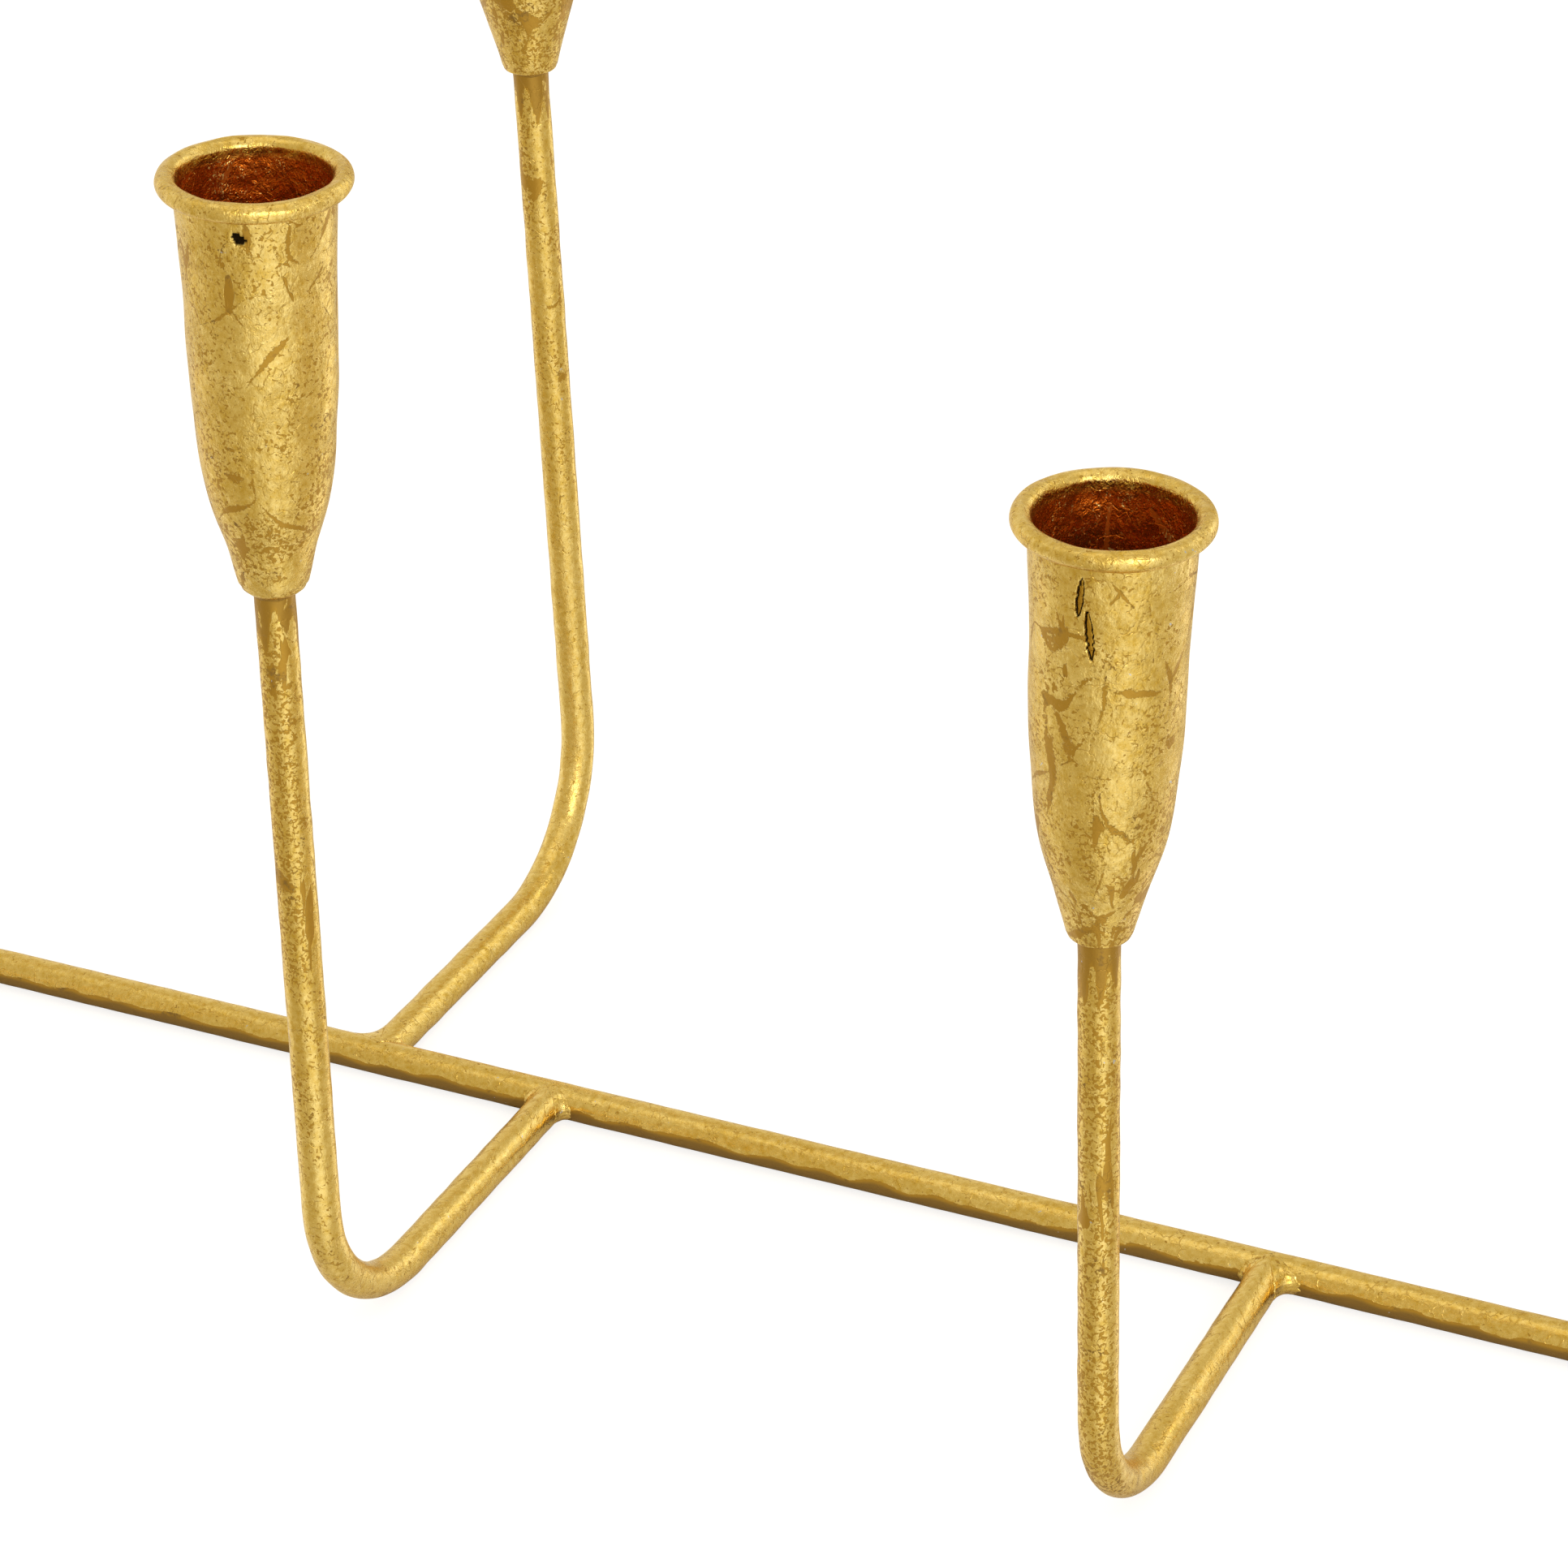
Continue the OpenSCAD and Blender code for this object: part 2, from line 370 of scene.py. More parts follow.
def arm_path(light, tenon, step):
    """The middle line of an arm from the bar's axis to the end of its tenon: along the
    leg, round an arc that is tangent to leg and stem, up the stem, and on along the
    cup's axis. Gives the points, their in-plane normals, the normal across the plane,
    and the number of points on the leg."""
    turn = math.acos(float(light.leg @ light.stem))
    tangent = light.bend_radius * math.tan(turn / 2)
    up = light.stem - (light.stem @ light.leg) * light.leg
    up /= np.linalg.norm(up)
    across = np.cross(light.leg, up)
    leg_length = light.reach - tangent
    centre = light.foot - light.leg * tangent + up * light.bend_radius
    along = np.arange(0, leg_length, step)
    angle = np.arange(0, turn, step / light.bend_radius)
    rise = np.append(np.arange(tangent, light.length - step / 2, step), light.length)
    end = np.linspace(0, tenon, 9)[1:]
    start = light.foot - light.leg * light.reach
    spoke = np.sin(angle)[:, None] * light.leg - np.cos(angle)[:, None] * up
    points = np.vstack([
        start + along[:, None] * light.leg,
        centre + light.bend_radius * spoke,
        light.foot + rise[:, None] * light.stem,
        light.bottom + end[:, None] * light.axis,
    ])
    bent = np.concatenate([0 * along, angle, 0 * rise + turn, 0 * end + turn])[:, None]
    normals = np.cos(bent) * up - np.sin(bent) * light.leg
    return points, normals, across, len(along)


def arm_surface(light, sizes, cups):
    """An arm: a circle carried along the arm's path. Its first rows are drawn back to the
    bar's curve, where the leg is coped: the start of the row at angle t lies at the
    bar's half width there, r times |sin t|, and the cope is closed by the same saddle."""
    tenon = cups.floor_height
    centre, normal, across, legs = arm_path(light, tenon, sizes.ring_step)
    theta = np.linspace(0, 2 * math.pi, sizes.sides, endpoint=False)[None, :]
    steps = np.linalg.norm(np.diff(centre, axis=0), axis=1)
    along = np.concatenate([[0], np.cumsum(steps)])[:, None]
    neck = along[-1] - tenon
    free = smooth(0, 4 * MM, along) * smooth(0, 2 * MM, neck - along)
    hammered = sizes.lump * (lumps(along, theta, light.seed) - 1.4) * 0.6
    filed = 0.05 * MM * smooth(0, 0.5 * MM, along - neck)
    radius = ROD_R - 0.02 * MM - filed + free * np.clip(hammered, -2.5 * sizes.lump, 0)
    ring = np.cos(theta)[..., None] * normal[:, None, :] + np.sin(theta)[..., None] * across
    points = centre[:, None, :] + radius[..., None] * ring

    leg_end = along[legs - 1]
    share = along[:legs] / leg_end
    cope = ROD_R * np.abs(np.sin(theta)) - COPE_LAP
    drawn = cope + (leg_end - cope) * share
    points[:legs] += (drawn - along[:legs])[..., None] * light.leg
    start = light.foot - light.leg * light.reach
    saddle = np.linspace(0, 1, 7)[1:-1, None]
    depth = np.sqrt(ROD_R**2 - (saddle * ROD_R * np.cos(theta)) ** 2) - COPE_LAP
    rim = points[0] - start - cope[..., None] * light.leg
    cap = start + depth[..., None] * light.leg + saddle[..., None] * rim
    points = np.vstack([cap, points])
    along = np.vstack([0 * saddle, along])

    fingers = 4.5 * MM * lumps(0 * along, theta, light.seed + 60, orders=9)
    bare = smooth(-1.5 * MM, 1.5 * MM, along + fingers - neck + sizes.bare_neck)
    lying = smooth(leg_end + 0.03, leg_end, along)
    under = smooth(0.3, 0.9, -np.cos(theta)) * lying
    close = smooth(0.12, 0.03, neck - along) + 0 * theta
    rubbed = light.rub * smooth(0.0, -0.8, np.cos(theta)) * (1 - lying)
    fields = {
        "place": unrolled(along, theta, ROD_R, light.seed),
        "bare": np.maximum(0.75 * bare, 0.9 * under),
        "wear": 0.12 + 0.6 * close + rubbed,
        "cracks": 0.1 + 0.5 * close,
    }
    return points, fields, start + (ROD_R - COPE_LAP) * light.leg, centre[-1]


def cup_section(cups, foot_radius, steps):
    """The closed outline of a cup's wall as [radius, height], from the neck's bore round
    the outside, over the rolled bead, and down the inside: cubics for bowl, flare and
    lead-in, an arc for the bead, and a round of foot_radius at the foot. The flare has so
    many steps. Also gives how far inside the cup each point is, from 0 to 1."""
    height = cups.bowl + cups.socket + cups.lead_in
    bead = np.array([cups.mouth_radius + cups.bead_radius, height])
    bore = ROD_R + 0.05 * MM
    neck = np.array([cups.neck_radius, 0])
    shoulder = np.array([cups.shoulder_radius, cups.bowl])
    lip = bead + cups.bead_radius * np.array([-0.55, -0.84])
    foot_turn = np.linspace(-math.pi / 2, 0, 6)[:, None]
    bowl = cubic(neck, neck + (shoulder - neck) * [0.67, 0.49],
                 neck + (shoulder - neck) * [0.79, 0.33], shoulder, 56)
    flare = cubic(shoulder, shoulder + (lip - shoulder) * [0.5, 0.4],
                  shoulder + (lip - shoulder) * [-0.4, 0.24], lip, steps)
    roll = np.radians(np.linspace(-118, 172, 40))
    bead_round = bead + cups.bead_radius * np.stack([np.cos(roll), np.sin(roll)], -1)
    mouth = bead_round[-1]
    socket_top = np.array([cups.socket_radius, cups.bowl + cups.socket])
    socket_foot = np.array([cups.socket_radius, cups.bowl])
    lead_in = cubic(mouth, mouth + [-0.1 * MM, -3.5 * MM],
                    socket_top + [0, 4 * MM], socket_top, 20)
    floor_edge = np.array([cups.floor_radius, cups.floor_height])
    inner = cubic(socket_foot, socket_foot + [-0.4 * MM, -8 * MM],
                  floor_edge + [1.7 * MM, 6.5 * MM], floor_edge, 30)
    socket_wall = np.linspace(socket_top, socket_foot, 14)[1:-1]
    floor = np.linspace(floor_edge, [bore, cups.floor_height], 6)[1:]
    foot_round = np.concatenate([np.cos(foot_turn), np.sin(foot_turn)], 1)
    rounding = neck + foot_radius * (foot_round - [1, 0])
    rounding[:, 1] += foot_radius
    keep = bowl[:, 1] > foot_radius
    bore_wall = np.array([[bore, share * cups.floor_height] for share in (0.6, 0.3, 0)])
    outline = np.vstack([rounding, bowl[keep], flare[1:-1], bead_round, lead_in[1:],
                         socket_wall, inner, floor, bore_wall])
    outside = len(rounding) + keep.sum() + len(flare) - 2 + len(bead_round)
    rank = np.arange(len(outline))
    sunk = smooth(-0.6 * MM, 2.4 * MM, height - outline[:, 1])
    inside = np.where(rank >= outside - 8, sunk, 0)
    return outline, inside


def crowded(count, centre):
    """count angles round a circle, up to seven times closer near the centre angle: the
    inverse of the running sum of their density."""
    fine = np.linspace(-math.pi, math.pi, 4001)
    density = 1 + 6 * np.exp(-((fine / 0.22) ** 2))
    share = np.concatenate([[0], np.cumsum(density[1:])])
    even = np.linspace(0, share[-1], count, endpoint=False)
    return centre + np.interp(even, share, fine)


def torn(name, h, theta, radius):
    """0 outside the tears of a cup, 0.5 inside them, and 1 on a flap within a tear's
    outline. Each is a lens about a straight line on the unrolled wall, its half width
    going as the root of sin(pi s) along it."""
    mask = np.zeros(np.broadcast(h, theta).shape)
    for angle_a, height_a, angle_b, height_b, half_width, flap in TEARS.get(name, ()):
        start = np.array([math.radians(angle_a) * radius, height_a * MM])
        step = np.array([math.radians(angle_b) * radius, height_b * MM]) - start
        length = np.linalg.norm(step)
        turn = (theta + math.pi) % (2 * math.pi) - math.pi
        x, y = turn * radius - start[0], h - start[1]
        s = (x * step[0] + y * step[1]) / length**2
        off = np.abs(x * step[1] - y * step[0]) / length
        ragged = 1 + 0.3 * lumps(h, turn, 7, longest=4 * MM, shortest=0.8 * MM)
        lens = np.sqrt(np.clip(np.sin(math.pi * np.clip(s, 0, 1)), 0, 1))
        width = half_width * MM * ragged * lens
        within = smooth(0.08 * MM, -0.08 * MM, off - width) * ((s > 0) & (s < 1))
        shown = smooth(0.16 * MM, 0.26 * MM, width - off)
        mask = np.maximum(mask, 0.5 * within * (1 + flap * shown))
    return mask


def cup_surface(light, cups):
    """A cup: its section carried round the axis, with shallow dents that fade at the
    bore: radius at height h and angle t is the section's, less a field of lumps. The
    bead's crown dips by a field of its own, and a tear goes straight into the wall."""
    collar = COLLARS.get(light.name, 0)
    marked = light.name in TEARS
    flare_steps = TORN_FLARE_STEPS if marked else FLARE_STEPS
    outline, inside = cup_section(cups, FOOT_ROUNDING + 2.6 * collar, flare_steps)
    theta = np.linspace(0, 2 * math.pi, cups.sides, endpoint=False)[None, :]
    if marked:
        last_tear = math.radians(TEARS[light.name][-1][0])
        theta = crowded(cups.sides + TORN_SIDES, last_tear)[None, :]
    r, h = outline[:, :1], outline[:, 1:]
    bead_height = cups.bowl + cups.socket + cups.lead_in
    outer = r > cups.neck_radius - 0.1 * MM
    outer = outer * (inside[:, None] == 0)
    r = r + collar * outer * smooth(0, 1 * MM, h) * smooth(9 * MM, 3 * MM, h)
    field = lumps(h + 0 * theta, theta, light.seed + 20, longest=60 * MM, shortest=9 * MM)
    free = smooth(ROD_R + 1 * MM, ROD_R + 3 * MM, r)
    radius = r + cups.dent * free * np.clip(0.5 * (field - 1.2), -1.5, 0)
    tears = torn(light.name, h, theta, cups.shoulder_radius) * outer
    radius = radius - TEAR_DEPTH * smooth(0, 0.5, tears) * (1.3 - 0.6 * tears)
    beading = lumps(5 * r, theta, light.seed + 80, orders=12)
    near_bead = smooth(bead_height - 4 * MM, bead_height, h)
    lift = 0.08 * MM * near_bead * np.clip(beading - 1.2, -2.4, 0)
    side = np.cross(light.axis, light.leg)
    side /= np.linalg.norm(side)
    front = np.cross(side, light.axis)
    ring = np.cos(theta)[..., None] * front + np.sin(theta)[..., None] * side
    points = light.bottom + radius[..., None] * ring + (h + lift)[..., None] * light.axis
    low = smooth(0.95 * cups.bowl, 0.4 * cups.bowl, h) + 0 * theta
    fields = {
        "place": unrolled(h, theta, r, light.seed + 9),
        "inside": inside[:, None] + 0 * theta,
        "tear": tears,
        "bare": 0 * low,
        "wear": 0.55 + 0.45 * low - 0.3 * near_bead,
        "cracks": 0.92 + 0.08 * low - 0.8 * near_bead,
    }
    return points, fields


def weld_surface(light):
    """A weld: for each angle t round the leg, a parabola that leaves the leg's surface
    and lands on the bar's, tangent to both, with its handle on the line where the rods
    meet. Its size falls with |cos t| to nothing over the top. A lump of weld metal stands
    on it, and its back lies in the rods."""
    t = np.linspace(0, 2 * math.pi, 120, endpoint=False)[:, None]
    sweep = np.linspace(0, 1, 14)[None, :]
    across = np.cos(t)
    leg_sign = light.leg[1]
    fillet = np.where(across > 0, light.weld_right, light.weld_left) * np.abs(across) ** 0.7
    ragged = 1 + 0.12 * lumps(30 * MM * t, 0 * t, light.seed + 31)
    fillet = fillet * ragged
    meet_x, meet_y, meet_z = ROD_R * across, ROD_R * np.abs(across), ROD_R * np.sin(t)
    on_leg = np.concatenate([meet_x, meet_y + fillet + 0.35 * MM, meet_z], 1)
    meet = np.concatenate([meet_x, meet_y, meet_z], 1)
    on_bar = np.concatenate([meet_x + np.sign(across) * fillet, meet_y, meet_z], 1)
    s = sweep[..., None]
    curve = ((1 - s) ** 2 * on_leg[:, None] + 2 * s * (1 - s) * meet[:, None]
             + s**2 * on_bar[:, None])
    outward = np.concatenate([across, np.abs(across) + 0.2, np.sin(t) * 1.2], 1)
    outward /= np.linalg.norm(outward, axis=1, keepdims=True)
    uneven = 0.12 * MM + 0.07 * MM * lumps(20 * MM * t, 3 * sweep, light.seed + 44)
    proud = np.sin(math.pi * sweep) ** 0.8 * uneven
    from_lump = (t + math.pi) % (2 * math.pi) - math.pi - LUMP_ANGLE
    lump = np.exp(-((from_lump / LUMP_WIDTH) ** 2) - ((sweep - LUMP_SWEEP) / LUMP_REACH) ** 2)
    proud = proud + LUMP_HEIGHT * lump
    curve = curve + (proud * np.abs(across) ** 0.5)[..., None] * outward[:, None]
    sunk_leg = on_leg * [0.85, 1, 0.85]
    sunk_bar = on_bar * [1, 0.85, 0.85]
    back = np.stack([sunk_leg, 0.8 * meet, sunk_bar], 1)
    loop = np.concatenate([curve, back[:, ::-1]], 1)
    base = np.array([light.foot[0], 0, ROD_R])
    points = base + loop * np.array([1, leg_sign, 1])
    points[..., 2] = np.maximum(points[..., 2], WELD_CLEARANCE)
    if leg_sign > 0:
        points = points[::-1]
    even = np.ones(loop.shape[:2])
    fields = {
        "place": (points - base) / MM + 37.0 * (light.seed + 3),
        "bare": 0.3 * even,
        "wear": 0.4 * even,
        "cracks": 0.1 * even,
    }
    return points, fields


def braze_surface(light, cups):
    """A brazed ring: a concave quarter round in the corner between stem and cup, carried
    round the stem and closed at its back, with a slightly uneven size."""
    theta = np.linspace(0, 2 * math.pi, 96, endpoint=False)[None, :]
    turn = np.linspace(0, math.pi / 2, 10)[:, None]
    size = cups.braze * (1 + 0.2 * lumps(0 * turn, theta, light.seed + 90, orders=7) - 0.3)
    corner = ROD_R + size
    radius = corner - size * np.cos(turn)
    height = -size + size * np.sin(turn)
    back = np.full_like(radius[:1], ROD_R - BRAZE_LAP)
    top = height[-1:] + BRAZE_LAP
    radius = np.concatenate([radius, radius[-1:], back, back])
    height = np.concatenate([height, top, top, height[:1]])
    side = np.cross(light.axis, light.leg)
    side /= np.linalg.norm(side)
    front = np.cross(side, light.axis)
    ring = np.cos(theta)[..., None] * front + np.sin(theta)[..., None] * side
    points = light.bottom + radius[..., None] * ring + height[..., None] * light.axis
    even = np.ones(radius.shape)
    fields = {
        "place": unrolled(height, theta, radius, light.seed + 70),
        "bare": 0.85 * even,
        "wear": 0.5 * even,
        "cracks": 0.1 * even,
    }
    return points, fields


# ---------------------------------------------------------------- gold leaf


class Bench:
    """Adds nodes to a tree. Each call makes one node and gives back its output."""

    def __init__(self, tree):
        self.tree = tree

    def node(self, kind, values=(), out=0, **settings):
        node = self.tree.nodes.new(kind)
        for key, value in settings.items():
            setattr(node, key, value)
        for key, value in dict(values).items():
            if isinstance(value, bpy.types.NodeSocket):
                self.tree.links.new(value, node.inputs[key])
            else:
                node.inputs[key].default_value = value
        return node.outputs[out]

    def math(self, operation, *values):
        return self.node("ShaderNodeMath", enumerate(values), operation=operation)

    def scaled(self, vector, size):
        return self.node("ShaderNodeVectorMath", {0: vector, 1: size}, operation="MULTIPLY")

    def noise(self, place, size, detail=2.0, rough=0.5, bend=0.0, out="Fac"):
        values = {"Vector": place, "Scale": 1 / size, "Detail": detail, "Roughness": rough,
                  "Distortion": bend}
        return self.node("ShaderNodeTexNoise", values, out=out)

    def step(self, value, low, high, start=0.0, end=1.0):
        values = {"Value": value, "From Min": low, "From Max": high,
                  "To Min": start, "To Max": end}
        return self.node("ShaderNodeMapRange", values, interpolation_type="SMOOTHSTEP")

    def ramp(self, value, low, high, start=0.0, end=1.0):
        values = {"Value": value, "From Min": low, "From Max": high,
                  "To Min": start, "To Max": end}
        return self.node("ShaderNodeMapRange", values, clamp=True)

    def blend(self, share, first, second):
        return self.node("ShaderNodeMix", {0: share, 6: first, 7: second}, out=2,
                         data_type="RGBA")

    def pushed(self, place, size, reach):
        """The place pushed about by a noise of that feature size, by up to reach."""
        drift = self.noise(place, size, detail=1.0, out="Color")
        centred = self.node("ShaderNodeVectorMath", {0: drift, 1: (-0.5,) * 3}, operation="ADD")
        push = self.scaled(centred, (2 * reach,) * 3)
        return self.node("ShaderNodeVectorMath", {0: place, 1: push}, operation="ADD")


def group_tree(name, inputs, outputs):
    """A new shader node group with named sockets, and its input and output nodes."""
    tree = bpy.data.node_groups.new(name, "ShaderNodeTree")
    for socket, kind in inputs:
        tree.interface.new_socket(socket, in_out="INPUT", socket_type=kind)
    for socket, kind in outputs:
        tree.interface.new_socket(socket, in_out="OUTPUT", socket_type=kind)
    return tree, tree.nodes.new("NodeGroupInput"), tree.nodes.new("NodeGroupOutput")


def leaf_sheets_group():
    """Where the leaf lies, in millimetres of place: sheets with cracked laps between
    them, curved tears, bare islands, rubbed specks and ragged bare zones. Length shrinks
    the pattern's coordinate along the piece, so that it comes out longer."""
    tree, given, result = group_tree(
        "Leaf sheets",
        [("Place", "NodeSocketVector"), ("Wear", "NodeSocketFloat"), ("Bare", "NodeSocketFloat"),
         ("Cracks", "NodeSocketFloat"), ("Length", "NodeSocketFloat")],
        [("Leaf", "NodeSocketFloat"), ("Tint", "NodeSocketFloat"), ("Grime", "NodeSocketFloat")],
    )
    b = Bench(tree)
    place, wear, bare, cracks, length = given.outputs[:5]
    ragged = b.ramp(b.noise(place, 0.6, 3.0, 0.65), 0.25, 0.75, -0.22, 0.22)
    shape = b.node("ShaderNodeCombineXYZ", {0: 1.0, 1: 1.0, 2: length})
    drawn = b.scaled(place, shape)
    closing = b.math("MULTIPLY_ADD", cracks, 0.75, -0.75)

    sheets = b.pushed(drawn, 13.0, 4.0)
    lap = b.node("ShaderNodeTexVoronoi", {"Vector": sheets, "Scale": 1 / SHEET},
                 feature="DISTANCE_TO_EDGE")
    lap = b.math("MULTIPLY_ADD", lap, SHEET, ragged)
    lap_width = b.ramp(b.noise(place, 9.0, 1.0), 0.40, 0.70, -0.18, 0.50)
    lap_width = b.math("ADD", lap_width, closing)
    laps = b.step(b.math("SUBTRACT", lap, lap_width), -0.03, 0.03)

    curves = b.pushed(drawn, 7.0, 2.0)
    tear = b.math("ABSOLUTE", b.math("SUBTRACT", b.noise(curves, 17.0, 0.0), 0.5))
    tear = b.math("MULTIPLY_ADD", tear, 24.0, ragged)
    tear_width = b.ramp(b.noise(place, 6.0, 1.0), 0.44, 0.74, -0.2, 0.74)
    tear_width = b.math("ADD", tear_width, closing)
    tears = b.step(b.math("SUBTRACT", tear, tear_width), -0.03, 0.03)

    island = b.noise(b.scaled(drawn, (1.0, 1.0, 0.6)), 4.5, 3.0, 0.62, 0.4)
    island_edge = b.ramp(wear, 0.0, 1.0, 0.74, 0.625)
    islands = b.step(b.math("SUBTRACT", island, island_edge), 0.006, -0.006)

    speck = b.noise(place, 0.62, 1.0, 0.5, 0.7)
    zone = b.ramp(b.noise(drawn, 5.5, 2.0), 0.34, 0.58, 0.0, 1.0)
    zone = b.math("MULTIPLY", zone, wear)
    speck_edge = b.ramp(zone, 0.0, 0.75, 0.75, 0.54)
    specks = b.step(b.math("SUBTRACT", speck, speck_edge), 0.012, -0.012)

    fray = b.ramp(b.noise(drawn, 2.4, 4.0, 0.65), 0.3, 0.7, -0.3, 0.3)
    zones = b.step(b.math("ADD", bare, fray), 0.56, 0.50)

    cracked, rubbed = b.math("MINIMUM", laps, tears), b.math("MINIMUM", islands, specks)
    leaf = b.math("MULTIPLY", b.math("MINIMUM", cracked, rubbed), zones)
    cell = b.node("ShaderNodeTexVoronoi", {"Vector": sheets, "Scale": 1 / SHEET}, out="Color",
                  feature="F1")
    tint = b.node("ShaderNodeSeparateColor", {0: cell})
    mottle = b.math("MULTIPLY", b.noise(place, 1.1, 5.0, 0.72), 1.25)
    tint = b.math("MULTIPLY_ADD", tint, 0.12, mottle)
    # Grime from a noise of real dirt, and painted shade where the bare mask is high: it darkens
    # the bole on the undersides of the bar and legs, in the brazed rings under the cups and
    # faintly on the necks.
    grime_and_shade = b.step(b.noise(place, 3.2, 4.0, 0.65), 0.56, 0.70)
    grime_and_shade = b.math("MAXIMUM", grime_and_shade, b.ramp(bare, 0.66, 0.96))
    for socket, value in (("Leaf", leaf), ("Tint", tint), ("Grime", grime_and_shade)):
        tree.links.new(value, result.inputs[socket])
    return tree


def leaf_crinkle_group():
    """Relief of the leaf in millimetres, and where it glints: fine wrinkles that swirl,
    creases like hairs, and a grain. Strength scales the wrinkles and the grain. The
    creases also go out as a mask for painted shade in them."""
    tree, given, result = group_tree(
        "Leaf crinkle",
        [("Place", "NodeSocketVector"), ("Leaf", "NodeSocketFloat"),
         ("Strength", "NodeSocketFloat")],
        [("Height", "NodeSocketFloat"), ("Crease", "NodeSocketFloat"),
         ("Glint", "NodeSocketFloat")],
    )
    b = Bench(tree)
    place, leaf, strength = given.outputs[:3]
    swirl = b.pushed(place, 3.5, 1.6)
    wrinkle = b.noise(b.scaled(swirl, (1.0, 1.0, 0.55)), 0.8, 4.0, 0.6)
    rumpled = b.ramp(b.noise(place, 5.0, 1.0), 0.35, 0.65, 0.45, 1.6)
    drifted = b.pushed(place, 1.4, 0.9)
    hair = b.node("ShaderNodeTexVoronoi", {"Vector": drifted, "Scale": 1 / 2.8},
                  feature="DISTANCE_TO_EDGE")
    # Creases like hairs: dents in the relief, which the material also darkens as painted shade.
    shaded_crease = b.step(hair, 0.045, 0.0)
    gate = b.step(b.noise(place, 2.6, 2.0), 0.45, 0.6)
    shaded_crease = b.math("MULTIPLY", shaded_crease, gate)
    swell = b.noise(place, 4.0, 2.0)
    grain = b.noise(place, 0.28, 2.0)
    fine = b.math("MULTIPLY_ADD", grain, 0.08, b.math("MULTIPLY", wrinkle, 0.25))
    fine = b.math("MULTIPLY", fine, strength)
    rumpled = b.math("MULTIPLY", rumpled, b.ramp(leaf, 0.0, 1.0, 0.3, 1.0))
    height = b.math("MULTIPLY", fine, rumpled)
    height = b.math("MULTIPLY_ADD", swell, 0.22, height)
    height = b.math("MULTIPLY_ADD", leaf, 0.014, height)
    height = b.math("MULTIPLY_ADD", shaded_crease, -0.04, height)
    glint = b.step(b.noise(place, 0.35, 1.0), 0.48, 0.66)
    for socket, value in (("Height", height), ("Crease", shaded_crease), ("Glint", glint)):
        tree.links.new(value, result.inputs[socket])
    return tree


def colour(value):
    """A colour setting with its alpha."""
    return tuple(value) + (1.0,)


